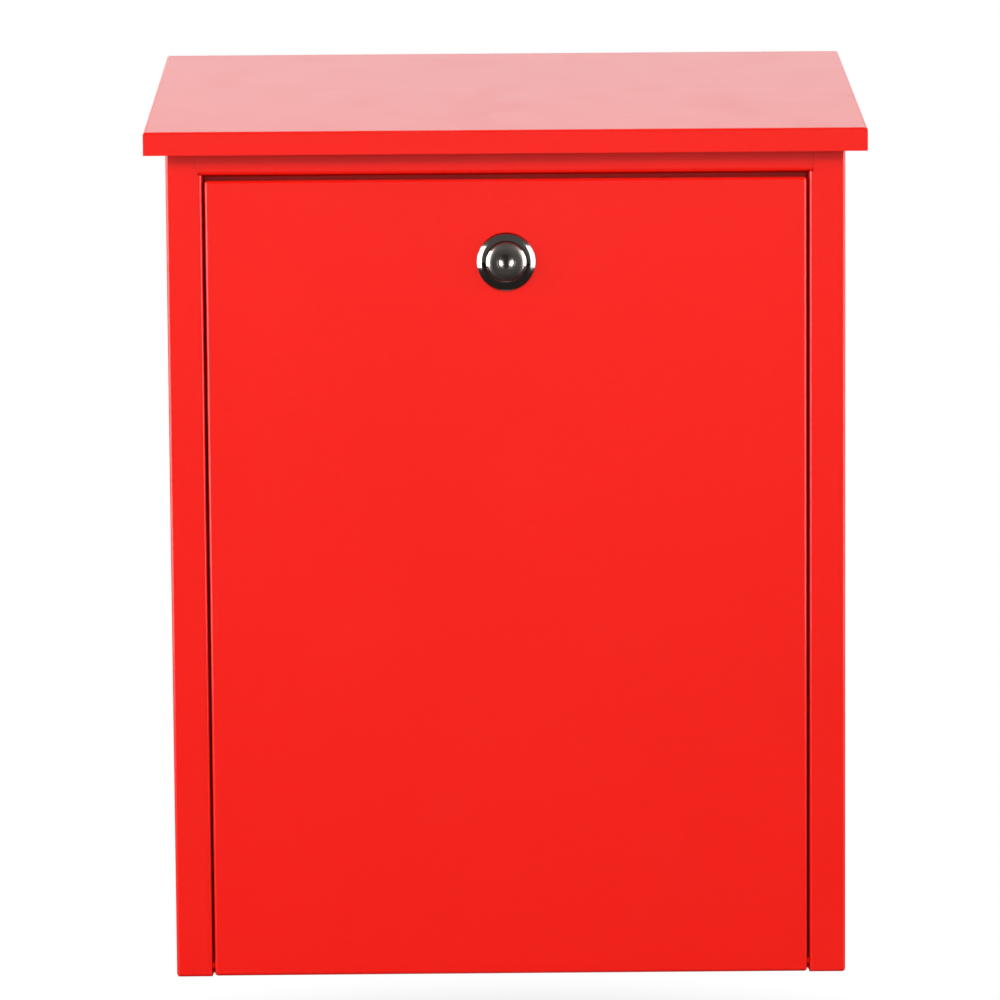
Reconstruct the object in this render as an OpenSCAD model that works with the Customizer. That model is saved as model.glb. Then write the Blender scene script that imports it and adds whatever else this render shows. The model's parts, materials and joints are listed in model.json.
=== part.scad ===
// Letter box of folded sheet steel with a sloping posting lid, a drop-down front door and a cam lock.
// The frame has +X to the viewer's right, +Y into the wall and +Z up.
// The origin is the centre of the four wall holes, on the back face.

/* [Case] */
// Width over the side walls
case_w = 302.2; // [240:0.1:420]
// Depth from the wall to the front face
case_d = 145; // [110:0.5:220]
// Height of the lid's front top edge above the base
front_h = 380; // [300:1:520]
// Thickness of the steel sheet
sheet_t = 1; // [0.8:0.1:1.5]
// Inside radius of every fold
fold_r = 0.8; // [0.5:0.1:1.2]
// Width of the front post beside the door
stile_w = 16.2; // [14:0.1:30]
// Depth of the post's return behind the front face
stile_return = 14; // [13:0.5:18]
// Width of the flange along the top of each side wall
side_flange_w = 9; // [6:0.5:12]

/* [Wall fixing] */
// Sideways distance between the wall holes
wall_hole_gap_x = 200; // [120:5:220]
// Upright distance between the wall holes
wall_hole_gap_z = 280; // [150:5:300]
// Height of the lower wall holes above the base
wall_hole_low = 60; // [40:1:90]
// Diameter of the wall holes
wall_hole_d = 7; // [4:0.5:10]
// Depth of the flanges round the back panel
back_flange = 12; // [8:0.5:16]
// Height of the folded-over hem on the back panel's top edge
back_hem = 20; // [19:0.5:30]
// Diameter of the drain holes in the bottom
drain_d = 6; // [4:0.5:10]
// Distance of a drain hole from the middle
drain_x = 100; // [20:1:110]
// Distance of a drain hole from the wall
drain_y = 40; // [25:1:70]

/* [Lid] */
// Width of the lid
lid_w = 320; // [316:0.5:450]
// Overhang of the lid in front of the case
lid_overhang = 10; // [6:0.5:20]
// Slope of the lid in degrees
lid_slope = 14; // [8:0.5:18]
// Upright height of the lip round the lid
lip_h = 10.3; // [8:0.1:20]
// Inside radius of the lid's folds
lid_fold_r = 0.3; // [0.2:0.1:0.8]
// Gap between the lid sheet and the case under it
lid_gap = 2; // [1.5:0.1:3]

/* [Lid hinge] */
// Length of the lid hinge
hinge_len = 280; // [180:1:290]
// Number of knuckles, an odd number
knuckles = 9; // [5:2:13]
// Diameter of the lid hinge pin
hinge_pin_d = 3; // [2.5:0.1:3.2]
// Sheet thickness of the hinge leaves
leaf_t = 1; // [0.8:0.1:1.2]
// Width of each hinge leaf from the pin
leaf_w = 18; // [12:0.5:19]
// Gap between neighbouring knuckles
knuckle_gap = 0.4; // [0.3:0.1:0.8]
// Gap between a leaf or the lid sheet and the other leaf's knuckles
knuckle_room = 0.4; // [0.35:0.05:0.8]

/* [Top rail] */
// Distance of the rail's lower edge below the lid's front top edge
rail_drop = 19; // [15:0.5:60]
// Width of the rail's sloping top flange
rail_top_flange = 16; // [12:0.5:24]
// Depth of the rail's lower flange
rail_low_flange = 13; // [12.8:0.1:16]
// Height of the strike lip behind the door
strike_h = 12; // [8:0.5:16]
// Length of the lapped tab at each end of the rail
rail_tab = 9; // [4:0.5:12]

/* [Door] */
// Gap beside the door
door_side_gap = 1; // [0.8:0.1:2.5]
// Gap above the door
door_top_gap = 2.5; // [1.5:0.1:4]
// Height of the door's lower edge above the base
door_bottom = 0.3; // [0.2:0.05:0.6]
// Depth of the door's side and top returns
door_return = 12; // [9:0.5:12.5]
// Depth of the door's bottom return
door_bottom_return = 6.5; // [5:0.1:6.6]
// Height of the door pins above the base
door_pin_h = 4.4; // [4:0.1:6]
// Depth of the door pins behind the front face
door_pin_in = 5; // [4.5:0.1:6]
// Diameter of the door pins
door_pin_d = 3; // [2.5:0.1:3.5]
// Diameter of the heads of the door pins
door_pin_head_d = 6; // [5:0.1:7]
// Thickness of the heads of the door pins
door_pin_head_t = 1.2; // [0.8:0.1:2]
// Distance from the door pins to the stop flange of the bottom
door_stop_in = 4.7; // [4.6:0.05:5.2]
// Height of the stop flange of the bottom
door_stop_h = 10; // [6:0.5:12]

/* [Lock] */
// Distance of the lock below the door's top edge
lock_drop = 36.8; // [26:0.1:60]
// Outer diameter of the rosette
rosette_d = 26.4; // [24:0.1:32]
// Thickness of the rosette
rosette_t = 2.9; // [2.4:0.1:4]
// Thickness of the rosette's rim
rosette_rim = 0.5; // [0.3:0.1:1]
// Depth of the flat seat below the rosette's crown
rosette_seat = 0.7; // [0.5:0.1:1]
// Diameter of the lock's head
lock_head_d = 18.4; // [17.5:0.1:20]
// Thickness of the lock's head above its seat
lock_head_t = 2.1; // [1.9:0.1:3]
// Diameter of the flat face inside the head's rounded edge
head_flat_d = 10.8; // [10:0.1:13]
// Radius of the head's rounded edge
head_round_r = 4.8; // [4.7:0.1:6]
// Diameter of the lock's barrel
barrel_d = 15.8; // [14.5:0.1:16]
// Distance across the flats of the barrel
barrel_flats = 13.8; // [13:0.1:14.5]
// Length of the barrel behind the front face
barrel_len = 13.4; // [12:0.1:16]
// Diameter of the plug
plug_d = 11.8; // [10:0.1:12]
// Diameter of the plug's nose in the lock's face
nose_d = 8; // [7.5:0.1:9.5]
// Diameter of the funnel's mouth
funnel_d = 7.4; // [6.5:0.1:7.4]
// Depth of the coned funnel round the keyway
funnel_h = 1.4; // [0.8:0.1:2]
// Diameter of the funnel's floor
funnel_floor_d = 2.9; // [2:0.1:4]
// How far the plug's nose lies below the lock's face
nose_in = 0.3; // [0.1:0.1:0.6]
// Width of the keyway
keyway_w = 2.1; // [1.2:0.1:2.4]
// Height of the keyway
keyway_h = 6.2; // [5:0.1:7]
// Thickness of the plug behind the keyway
keyway_floor = 2; // [1.5:0.1:3]
// Distance across the flats of the lock nut
nut_af = 21; // [19:0.5:24]
// Thickness of the lock nut
nut_t = 3; // [2:0.1:4]
// Thickness of the lock washer
washer_t = 0.8; // [0.5:0.1:1.2]
// Outer diameter of the lock washer
washer_d = 20; // [18:0.5:24]
// Number of teeth round the lock washer
washer_teeth = 16; // [8:1:20]

/* [Cam] */
// Height of the raised cam's tip above the rail's lower edge
cam_reach = 2.7; // [-4:0.1:6]
// Width of the cam
cam_w = 16; // [12:0.5:18]
// Thickness of the cam
cam_t = 2; // [1.5:0.1:3]
// Width of the plug's square shank
shank_w = 7; // [5:0.1:8]
// Thickness of the stop disc
stop_t = 0.9; // [0.7:0.1:1.2]
// Turning play of the stop disc in degrees, at each end
stop_play = 2; // [1:0.5:4]
// Diameter of the washer under the cam screw
cam_washer_d = 13; // [11:0.5:16]
// Diameter of the cam screw
cam_screw_d = 4; // [3:0.1:4.5]
// Length of the cam screw in the shank
cam_screw_len = 4; // [2.5:0.1:5]
// Diameter of the cam screw's head
cam_screw_head_d = 8.5; // [7:0.1:10]
// Thickness of the cam screw's head
cam_screw_head_t = 2.6; // [1.5:0.1:4]
// Width of the cross recess in the cam screw's head
cam_screw_recess_w = 1.2; // [0.8:0.1:1.6]

/* [Bumpers] */
// Diameter of the rubber bumpers
bumper_d = 9; // [6:0.5:10]
// Distance of a lid bumper from the middle
lid_bumper_x = 115; // [40:1:120]
// Distance of a door bumper from the middle
door_bumper_x = 105; // [40:1:110]
// Gap between a bumper and what it stops
bumper_gap = 0.2; // [0.1:0.05:0.3]

/* [Hidden] */

$fn = 64;
red = [0.93, 0.16, 0.12];
steel = [0.75, 0.75, 0.77];
dark = [0.12, 0.12, 0.13];
// Radial clearance of a turning fit
run_fit = 0.05;
// Clearance where one piece drops into another
drop_fit = 0.1;
// Turn of the cam between its two stops, in degrees
cam_turn = 90;
// Hair gap between two sloping sheets that are welded face to face
weld_gap = 0.01;
// How far a cutting shape runs past what it cuts
over = 1;

fold_outer = fold_r + sheet_t;
base_z = -(wall_hole_low + wall_hole_gap_z / 2);
front_y = -case_d;
side_x = case_w / 2;
inner_x = side_x - sheet_t;
roof_front_y = front_y - lid_overhang;
roof_front_z = base_z + front_h;

// Lid hinge axis: its leaf lies under the lid sheet, and the other leaf on the back panel's hem
knuckle_r = hinge_pin_d / 2 + run_fit + leaf_t;
hinge_y = -2 * sheet_t - knuckle_r;
hinge_under = sheet_t + weld_gap + knuckle_r;
hinge_z = roof_front_z + (hinge_y - roof_front_y) * tan(lid_slope) - hinge_under / cos(lid_slope);
knuckle_clear = knuckle_r + knuckle_room;
lid_back_gap = sqrt(pow(knuckle_clear, 2) - pow(knuckle_r, 2));
lid_back_y = hinge_y - lid_back_gap * cos(lid_slope) - hinge_under * sin(lid_slope);
roof_len = (lid_back_y - roof_front_y) / cos(lid_slope);
back_top_z = hinge_z - knuckle_clear;

// The case's top edges lie parallel to the lid, this far below its top face
case_top_under = sheet_t + lid_gap;
rail_top_z = roof_front_z + lid_overhang * tan(lid_slope) - case_top_under / cos(lid_slope);
rail_bottom_z = roof_front_z - rail_drop;
rail_half_w = side_x - stile_w + fold_outer;
strike_y = front_y + rail_low_flange;

door_half_w = side_x - stile_w - door_side_gap;
door_low_z = base_z + door_bottom;
door_top_z = rail_bottom_z - door_top_gap;
door_pin_y = front_y + door_pin_in;
door_pin_z = base_z + door_pin_h;
ear_r = door_pin_h - door_bottom;
stop_y = door_pin_y + door_stop_in;

lock_z = door_top_z - lock_drop;
seat_z = rosette_t - rosette_seat;
face_z = seat_z + lock_head_t;
disc_front = -barrel_len - drop_fit;
cam_front = disc_front - stop_t;
cam_back = cam_front - cam_t;
cam_len = lock_drop + door_top_gap + cam_reach;

// Places a shape drawn in the Y-Z plane and runs it along X, centred
module along_x(length) {
  rotate([90, 0, 90]) linear_extrude(length, center = true) children();
}

// Places a shape drawn in the X-Z plane and runs it from y0 to y1
module along_y(y0, y1) {
  translate([0, y1, 0]) rotate([90, 0, 0]) linear_extrude(y1 - y0) children();
}

// Runs a shape drawn in the X-Y plane from z0 to z1
module along_z(z0, z1) {
  translate([0, 0, z0]) linear_extrude(z1 - z0) children();
}

// Draws its children once on each side
module both_sides() {
  children();
  mirror([1, 0, 0]) children();
}

// The lid's own frame: its origin is on the front top edge, +Y runs up the slope, +Z stands on the sheet
module on_roof() {
  translate([0, roof_front_y, roof_front_z]) rotate([lid_slope, 0, 0]) children();
}

// The lock's own frame: its origin is on the door's front face, +Z points out at the viewer
module on_lock() {
  translate([0, front_y, lock_z]) rotate([90, 0, 0]) children();
}

// Radius of a fold on the drawn face of a sheet
function drawn_r(turn) = turn > 0 ? fold_outer : fold_r;

// Distance from a fold's sharp corner to where the flat sheet starts
function setback(turn) = drawn_r(turn) * tan(abs(turn) / 2);

// Slice of a circle between two angles
module pie(r, a0, a1) {
  far = 2 * r;
  mid = (a0 + a1) / 2;
  intersection() {
    circle(r);
    polygon([[0, 0], far * [cos(a0), sin(a0)], far * [cos(mid), sin(mid)], far * [cos(a1), sin(a1)]]);
  }
}

// Section of a fold: a slice of a ring
module ring_part(r_in, r_out, a0, a1) {
  difference() {
    pie(r_out, a0, a1);
    circle(r_in);
  }
}

// Section of a folded sheet. Its drawn face starts along +X with the sheet on the left.
// legs are lengths between the sharp corners of that face, and turns are the folds between them.
module folded_sheet(legs, turns, i = 0) {
  start = i == 0 ? 0 : setback(turns[i - 1]);
  end = i == len(turns) ? 0 : setback(turns[i]);
  translate([start, 0]) square([legs[i] - start - end, sheet_t]);
  if (i < len(turns))
    translate([legs[i], 0]) {
      if (turns[i] > 0)
        translate([-end, fold_outer]) ring_part(fold_r, fold_outer, -90, turns[i] - 90);
      else
        translate([-end, -fold_r]) ring_part(fold_r, fold_outer, 90 + turns[i], 90);
      rotate(turns[i]) folded_sheet(legs, turns, i + 1);
    }
}

// Rectangle whose listed corners, given by their signs, are rounded to the radius r
module outline(low, high, corners, r = fold_outer) {
  difference() {
    translate(low) square(high - low);
    for (c = corners)
      translate([c[0] < 0 ? low[0] : high[0], c[1] < 0 ? low[1] : high[1]])
        rotate(c[0] < 0 ? (c[1] < 0 ? 0 : -90) : (c[1] < 0 ? 90 : 180)) difference() {
          translate([-over, -over]) square(r + over);
          translate([r, r]) circle(r);
        }
  }
}

// Sides and bottom of the case: one sheet folded up at both lower corners
module case_wrap() {
  side_h = front_h + case_d * tan(lid_slope);
  along_y(front_y, 0)
    translate([-side_x, base_z + side_h]) rotate(-90)
      folded_sheet([side_h, case_w, side_h], [90, 90]);
}

// Front post with its return, folded on from the side wall
module stile() {
  run = stile_return + stile_w;
  along_z(base_z, rail_top_z)
    translate([-side_x, front_y + run]) rotate(-90)
      folded_sheet([run, stile_w, stile_return], [90, 90]);
}

// Space above the case's sloping top edges, down to depth under the lid's top face
module above_roof_line(depth) {
  on_roof() translate([-lid_w, -lid_w, -depth]) cube([2 * lid_w, 3 * lid_w, lid_w]);
}

// Flange along the top of the side wall, folded in parallel to the lid
module side_flange() {
  start = rail_top_flange + lid_overhang + over;
  end = roof_len - back_flange - over;
  on_roof() translate([0, start, 0]) rotate([90, 0, 0]) mirror([0, 0, 1]) linear_extrude(end - start)
    translate([-side_x + side_flange_w, -case_top_under]) rotate(180)
      folded_sheet([side_flange_w, 2 * fold_outer], [90]);
}

// Flange of the bottom that stands behind the door and stops it when it is open
module stop_flange() {
  along_x(2 * (door_half_w - sheet_t - door_side_gap))
    translate([stop_y, base_z + door_stop_h]) rotate(-90) folded_sheet([door_stop_h, 2 * fold_outer], [90]);
}

module case_shell() {
  color(red) difference() {
    union() {
      intersection() {
        union() {
          difference() {
            case_wrap();
            above_roof_line(case_top_under + fold_outer);
          }
          difference() {
            both_sides() stile();
            above_roof_line(case_top_under);
          }
        }
        along_z(base_z - over, base_z + 2 * front_h)
          outline([-side_x, front_y], [side_x, 0], [[-1, -1], [1, -1]]);
        along_y(front_y - over, over)
          outline([-side_x, base_z], [side_x, base_z + 2 * front_h], [[-1, -1], [1, -1]]);
        along_x(2 * case_w)
          outline([front_y, base_z], [0, base_z + 2 * front_h], [[-1, -1]]);
      }
      both_sides() side_flange();
      stop_flange();
    }
    // Doorway in the bottom
    translate([-side_x + stile_w, front_y - over, base_z - over])
      cube([case_w - 2 * stile_w, stop_y - front_y + over, sheet_t + 2 * over]);
    // Side walls cut level behind the lid
    translate([-case_w, lid_back_y, back_top_z]) cube([2 * case_w, 2 * case_d, front_h]);
    // Notch in the posts for the rail
    translate([-rail_half_w, front_y - over, rail_bottom_z])
      cube([2 * rail_half_w, stile_return + 2 * over, front_h]);
    both_sides() {
      translate([drain_x, -drain_y, base_z - over]) cylinder(d = drain_d, h = sheet_t + 2 * over);
      translate([door_half_w, door_pin_y, door_pin_z]) rotate([0, 90, 0])
        cylinder(d = door_pin_d + 2 * run_fit, h = stile_w / 2);
    }
  }
}

// Back panel: a tray with flanges at both sides and the bottom, and a hem along the top
module back_panel() {
  half = inner_x - drop_fit;
  low = base_z + sheet_t;
  color(red) difference() {
    union() {
      intersection() {
        union() {
          along_z(low, back_top_z - back_hem)
            translate([half, -back_flange]) rotate(90)
              folded_sheet([back_flange, 2 * half, back_flange], [90, 90]);
          along_x(2 * half)
            translate([-back_flange, low]) folded_sheet([back_flange, 2 * fold_outer], [90]);
        }
        along_z(low - over, back_top_z)
          outline([-half, -2 * back_flange], [half, 0], [[-1, 1], [1, 1]]);
        along_x(2 * case_w)
          outline([-2 * back_flange, low], [0, back_top_z], [[1, -1]]);
        along_y(-2 * back_flange, over)
          outline([-half, low], [half, back_top_z], [[-1, -1], [1, -1]]);
      }
      along_x(2 * half) translate([-sheet_t, back_top_z - back_hem]) square([sheet_t, back_hem - sheet_t]);
      along_x(2 * (half - back_flange)) {
        translate([-2 * sheet_t, back_top_z - back_hem]) square([sheet_t, back_hem - sheet_t]);
        translate([-sheet_t, back_top_z - sheet_t]) intersection() {
          circle(sheet_t);
          translate([-sheet_t, 0]) square([2 * sheet_t, sheet_t]);
        }
      }
    }
    for (x = [-1, 1], z = [-1, 1])
      translate([x * wall_hole_gap_x / 2, over, z * wall_hole_gap_z / 2]) rotate([90, 0, 0])
        cylinder(d = wall_hole_d, h = 2 * sheet_t + 2 * over);
  }
}

// Rail over the door: sloping flange, face, lower flange and strike lip folded from one strip
module top_rail() {
  lap_low = rail_bottom_z + 2 * fold_outer;
  lap_high = rail_top_z - 2 * fold_outer;
  lap_in = 2 * rail_tab;
  half = rail_half_w - drop_fit;
  flange_half = side_x - stile_w - drop_fit;
  face_h = rail_top_z - rail_bottom_z;
  color(red) {
    difference() {
      along_x(2 * half)
        translate([front_y + rail_top_flange * cos(lid_slope), rail_top_z + rail_top_flange * sin(lid_slope)])
          rotate(180 + lid_slope)
            folded_sheet([rail_top_flange, face_h, rail_low_flange, strike_h], [90 - lid_slope, 90, -90]);
      // The lower flange and strike lip pass between the posts' returns
      both_sides() translate([flange_half, front_y + fold_outer, rail_bottom_z - front_h])
        cube([stile_w, case_d, front_h + fold_outer]);
    }
    both_sides() translate([half - lap_in, front_y + sheet_t, lap_low])
      cube([lap_in + rail_tab, sheet_t, lap_high - lap_low]);
  }
}

// Pin riveted into a post's return; the door turns on it
module door_pin() {
  outer_x = side_x - stile_w + sheet_t;
  inner_x = door_half_w - sheet_t - bumper_gap;
  color(steel) translate([0, door_pin_y, door_pin_z]) rotate([0, 90, 0]) {
    translate([0, 0, inner_x]) cylinder(d = door_pin_d, h = outer_x - inner_x);
    translate([0, 0, outer_x]) cylinder(d = door_pin_head_d, h = door_pin_head_t);
    translate([0, 0, inner_x - door_pin_head_t]) cylinder(d = door_pin_head_d, h = door_pin_head_t);
  }
}

module door_pin_right() {
  door_pin();
}

module door_pin_left() {
  mirror([1, 0, 0]) door_pin();
}

// Round pad with a turned-down edge, standing on z = 0
module bumper(height) {
  edge = height / 3;
  cylinder(d = bumper_d, h = height - edge);
  translate([0, 0, height - edge]) cylinder(d1 = bumper_d, d2 = bumper_d - 2 * edge, h = edge);
}

// Rubber pads on the rail's sloping flange, under the lid
module lid_bumpers() {
  pad_y = (lid_overhang + rail_top_flange / 2) / cos(lid_slope);
  color(dark) both_sides() on_roof()
    translate([lid_bumper_x, pad_y, -case_top_under]) bumper(lid_gap - bumper_gap);
}

// Rubber pads on the strike lip, behind the door's top return
module door_bumpers() {
  height = rail_low_flange - door_return - bumper_gap;
  pad_z = door_top_z - bumper_d / 2;
  color(dark) both_sides() translate([door_bumper_x, strike_y, pad_z]) rotate([90, 0, 0]) bumper(height);
}

// Every second knuckle, starting at the first or second place, each as long as its place less the gap
module knuckle_places(first) {
  pitch = hinge_len / knuckles;
  for (i = [first : 2 : knuckles - 1])
    translate([-hinge_len / 2 + (i + 0.5) * pitch, 0, 0]) children();
}

// Hinge leaf in the frame of the pin: a plate whose outer face is tangent to the rolled knuckles.
// The plate runs along +Y at the top of the knuckles.
module hinge_leaf(first) {
  pitch = hinge_len / knuckles;
  length = pitch - knuckle_gap;
  clear = knuckle_clear + over / 2;
  difference() {
    union() {
      translate([-hinge_len / 2, clear, knuckle_r - leaf_t]) cube([hinge_len, leaf_w - clear, leaf_t]);
      knuckle_places(first) {
        translate([-length / 2, 0, knuckle_r - leaf_t]) cube([length, clear + over, leaf_t]);
        rotate([0, 90, 0]) cylinder(r = knuckle_r, h = length, center = true);
      }
    }
    knuckle_places(first) rotate([0, 90, 0])
      cylinder(d = hinge_pin_d + 2 * run_fit, h = pitch, center = true);
  }
}

module hinge_leaf_case() {
  color(red) translate([0, hinge_y, hinge_z]) rotate([-90, 0, 0]) hinge_leaf(0);
}

module hinge_leaf_lid() {
  color(red) translate([0, hinge_y, hinge_z]) rotate([lid_slope, 0, 0]) mirror([0, 1, 0]) hinge_leaf(1);
}

// Hinge pin with its two ends upset over the outer knuckles
module hinge_pin() {
  head = hinge_pin_d + 2 * run_fit + leaf_t;
  color(steel) translate([0, hinge_y, hinge_z]) rotate([0, 90, 0]) {
    cylinder(d = hinge_pin_d, h = hinge_len, center = true);
    for (s = [0, 1]) mirror([0, 0, s])
      translate([0, 0, hinge_len / 2]) cylinder(d1 = head, d2 = hinge_pin_d, h = leaf_t);
  }
}

// Solid form of the lid, inset from its outer faces, with every fold rounded to the radius r.
// It runs from past the lid's back edge to its front face, and as deep as asked.
module lid_form(inset, r, back, depth) {
  turn = 90 - lid_slope;
  ahead = [cos(turn), sin(turn)];
  corner = [roof_len - inset * tan(turn / 2), inset];
  flat = r * tan(turn / 2);
  intersection() {
    translate([0, roof_len + back, 0]) rotate([90, 0, 0]) linear_extrude(roof_len + back + lip_h)
      outline([inset - lid_w / 2, -depth], [lid_w / 2 - inset, -inset], [[-1, 1], [1, 1]], r);
    along_x(lid_w) translate([roof_len, 0]) rotate(180) {
      polygon([[-2 * over, inset], corner - [flat, 0], corner + [-flat, r], corner + flat * ahead,
        corner + 2 * lip_h * ahead, [-2 * over, 2 * lip_h]]);
      translate(corner + [-flat, r]) pie(r, -lid_slope - turn, -lid_slope);
    }
  }
}

// Lid: a sloping sheet with a lip folded down at the front and at both sides, its corners welded shut
module lid() {
  side_lip = lip_h * cos(lid_slope);
  color(red) on_roof() difference() {
    lid_form(0, lid_fold_r + sheet_t, 0, side_lip);
    lid_form(sheet_t, lid_fold_r, over, side_lip + over);
  }
}

// Double-D shape of a barrel and of the hole it drops into
module barrel_section(clearance) {
  intersection() {
    circle(d = barrel_d + 2 * clearance);
    square([barrel_flats + 2 * clearance, barrel_d * 2], center = true);
  }
}

// Door: a shallow tray folded from one sheet, with ears at its foot that turn on the pins
module door() {
  w = 2 * door_half_w;
  color(red) difference() {
    intersection() {
      union() {
        along_z(door_low_z, door_top_z)
          translate([-door_half_w, front_y + door_return]) rotate(-90)
            folded_sheet([door_return, w, door_return], [90, 90]);
        along_x(w)
          translate([front_y + door_return, door_top_z]) rotate(180)
            folded_sheet([door_return, door_top_z - door_low_z, door_bottom_return], [90, 90]);
      }
      along_z(door_low_z - over, door_top_z + over)
        outline([-door_half_w, front_y], [door_half_w, front_y + 2 * door_return], [[-1, -1], [1, -1]]);
      along_x(w)
        outline([front_y, door_low_z], [front_y + 2 * door_return, door_top_z], [[-1, -1], [-1, 1]]);
      along_y(front_y - over, front_y + 2 * door_return)
        outline([-door_half_w, door_low_z], [door_half_w, door_top_z], [[-1, -1], [1, -1], [-1, 1], [1, 1]]);
    }
    both_sides() {
      // The side return is cut back behind the ear
      translate([door_half_w - fold_outer, door_pin_y, door_low_z - over]) difference() {
        cube([2 * fold_outer, 2 * door_return, door_pin_z - door_low_z + over]);
        translate([-over, 0, door_pin_z - door_low_z + over]) rotate([0, 90, 0])
          cylinder(r = ear_r, h = 2 * fold_outer + 2 * over);
      }
      translate([door_half_w - 2 * sheet_t, door_pin_y, door_pin_z]) rotate([0, 90, 0])
        cylinder(d = door_pin_d + 2 * run_fit, h = 2 * sheet_t + over);
    }
    on_lock() translate([0, 0, -2 * sheet_t]) linear_extrude(2 * sheet_t + over) barrel_section(drop_fit);
  }
}

// Rosette: a domed ring with a flat seat for the lock's head
module lock_rosette() {
  outer = rosette_d / 2;
  top = barrel_d / 2 + drop_fit;
  rise = rosette_t - rosette_rim;
  dome_r = (pow(outer - top, 2) + pow(rise, 2)) / (2 * rise);
  color(steel) on_lock() rotate_extrude() difference() {
    intersection() {
      translate([top, 0]) square([outer - top, rosette_t]);
      translate([top, rosette_t - dome_r]) circle(dome_r);
    }
    translate([0, seat_z]) square([lock_head_d / 2 + drop_fit, rosette_t]);
  }
}

// Lock housing: head with a rounded edge, barrel with two flats, and a ledge that stops the turning disc
module lock_housing() {
  color(steel) on_lock() difference() {
    union() {
      translate([0, 0, seat_z]) cylinder(d = head_flat_d, h = lock_head_t);
      translate([0, 0, seat_z]) rotate_extrude() intersection() {
        translate([nose_d / 2, 0]) square([(lock_head_d - nose_d) / 2, lock_head_t]);
        translate([head_flat_d / 2, lock_head_t - head_round_r]) circle(head_round_r);
      }
      translate([0, 0, -barrel_len]) linear_extrude(barrel_len + seat_z) barrel_section(0);
      translate([0, 0, -barrel_len - stop_t]) linear_extrude(stop_t) difference() {
        barrel_section(0);
        circle(d = plug_d + 2 * drop_fit);
        translate([-barrel_d, -barrel_d]) square([2 * barrel_d, barrel_d]);
      }
    }
    translate([0, 0, -barrel_len - over]) cylinder(d = plug_d + 2 * run_fit, h = barrel_len + over + sheet_t);
    cylinder(d = nose_d + 2 * run_fit, h = face_z + over);
  }
}

// Washer with teeth round its rim, between the door and the nut
module lock_washer() {
  color(steel) on_lock() translate([0, 0, -sheet_t - washer_t]) linear_extrude(washer_t) difference() {
    circle(d = washer_d);
    circle(d = barrel_d + 2 * drop_fit);
    for (i = [0 : washer_teeth - 1])
      rotate(i * 360 / washer_teeth) translate([washer_d / 2, 0]) circle(d = washer_d / washer_teeth);
  }
}

module lock_nut() {
  color(steel) on_lock() translate([0, 0, -sheet_t - washer_t - nut_t]) difference() {
    intersection() {
      cylinder(d = nut_af / cos(30), h = nut_t, $fn = 6);
      cylinder(d1 = nut_af, d2 = nut_af + 4 * nut_t, h = nut_t);
    }
    translate([0, 0, -over]) cylinder(d = barrel_d + 2 * run_fit, h = nut_t + 2 * over);
  }
}

// Plug: nose with a coned keyway, body, and the square shank that carries the cam
module lock_plug() {
  shank_back = cam_back + drop_fit;
  nose_z = face_z - nose_in;
  color(steel) on_lock() difference() {
    union() {
      cylinder(d = nose_d, h = nose_z);
      translate([0, 0, -barrel_len]) cylinder(d = plug_d, h = barrel_len + sheet_t - run_fit);
      translate([-shank_w / 2, -shank_w / 2, shank_back])
        cube([shank_w, shank_w, -barrel_len - shank_back]);
    }
    translate([0, 0, nose_z - funnel_h])
      cylinder(d1 = funnel_floor_d, d2 = funnel_d, h = funnel_h + run_fit);
    translate([-keyway_w / 2, -keyway_h / 2, -barrel_len + keyway_floor])
      cube([keyway_w, keyway_h, barrel_len + face_z]);
    translate([0, 0, shank_back - over]) cylinder(d = cam_screw_d, h = cam_screw_len + over);
  }
}

// Square hole for the shank
module shank_hole() {
  square(shank_w + 2 * run_fit, center = true);
}

// Disc on the shank with a tab that meets the housing's ledge after a quarter turn
module cam_stop_disc() {
  tab_r = barrel_flats / 2 - drop_fit;
  disc_r = plug_d / 2 - drop_fit;
  color(steel) on_lock() translate([0, 0, cam_front]) linear_extrude(stop_t) difference() {
    union() {
      circle(disc_r);
      pie(tab_r, cam_turn - 180 + stop_play, -stop_play);
    }
    shank_hole();
  }
}

// Cam, lying sideways while the door is free, with a rounded tip
module cam() {
  tip_r = cam_w / 2;
  color(steel) on_lock() translate([0, 0, cam_back]) linear_extrude(cam_t) difference() {
    union() {
      circle(tip_r);
      translate([tip_r - cam_len, -tip_r]) square([cam_len - tip_r, cam_w]);
      translate([tip_r - cam_len, 0]) circle(tip_r);
    }
    shank_hole();
  }
}

module cam_washer() {
  color(steel) on_lock() translate([0, 0, cam_back - washer_t]) difference() {
    cylinder(d = cam_washer_d, h = washer_t);
    translate([0, 0, -over]) cylinder(d = cam_screw_d + 2 * run_fit, h = washer_t + 2 * over);
  }
}

// Screw that holds the cam: domed head with a cross recess
module cam_screw() {
  head_back = cam_back - washer_t - cam_screw_head_t;
  recess_len = cam_screw_head_d / 2;
  color(steel) on_lock() difference() {
    union() {
      translate([0, 0, head_back + cam_screw_head_t / 2])
        cylinder(d = cam_screw_head_d, h = cam_screw_head_t / 2);
      translate([0, 0, head_back])
        cylinder(d1 = cam_screw_head_d - cam_screw_head_t, d2 = cam_screw_head_d, h = cam_screw_head_t / 2);
      translate([0, 0, head_back + cam_screw_head_t - over])
        cylinder(d = cam_screw_d - 2 * run_fit, h = washer_t + cam_screw_len + over);
    }
    for (a = [0, 90]) rotate(a)
      translate([-recess_len / 2, -cam_screw_recess_w / 2, head_back - over])
        cube([recess_len, cam_screw_recess_w, cam_screw_head_t / 2 + over]);
  }
}

case_shell();
back_panel();
top_rail();
door_pin_left();
door_pin_right();
lid_bumpers();
door_bumpers();
hinge_leaf_case();
hinge_pin();
lid();
hinge_leaf_lid();
door();
lock_rosette();
lock_housing();
lock_washer();
lock_nut();
lock_plug();
cam_stop_disc();
cam();
cam_washer();
cam_screw();
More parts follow.
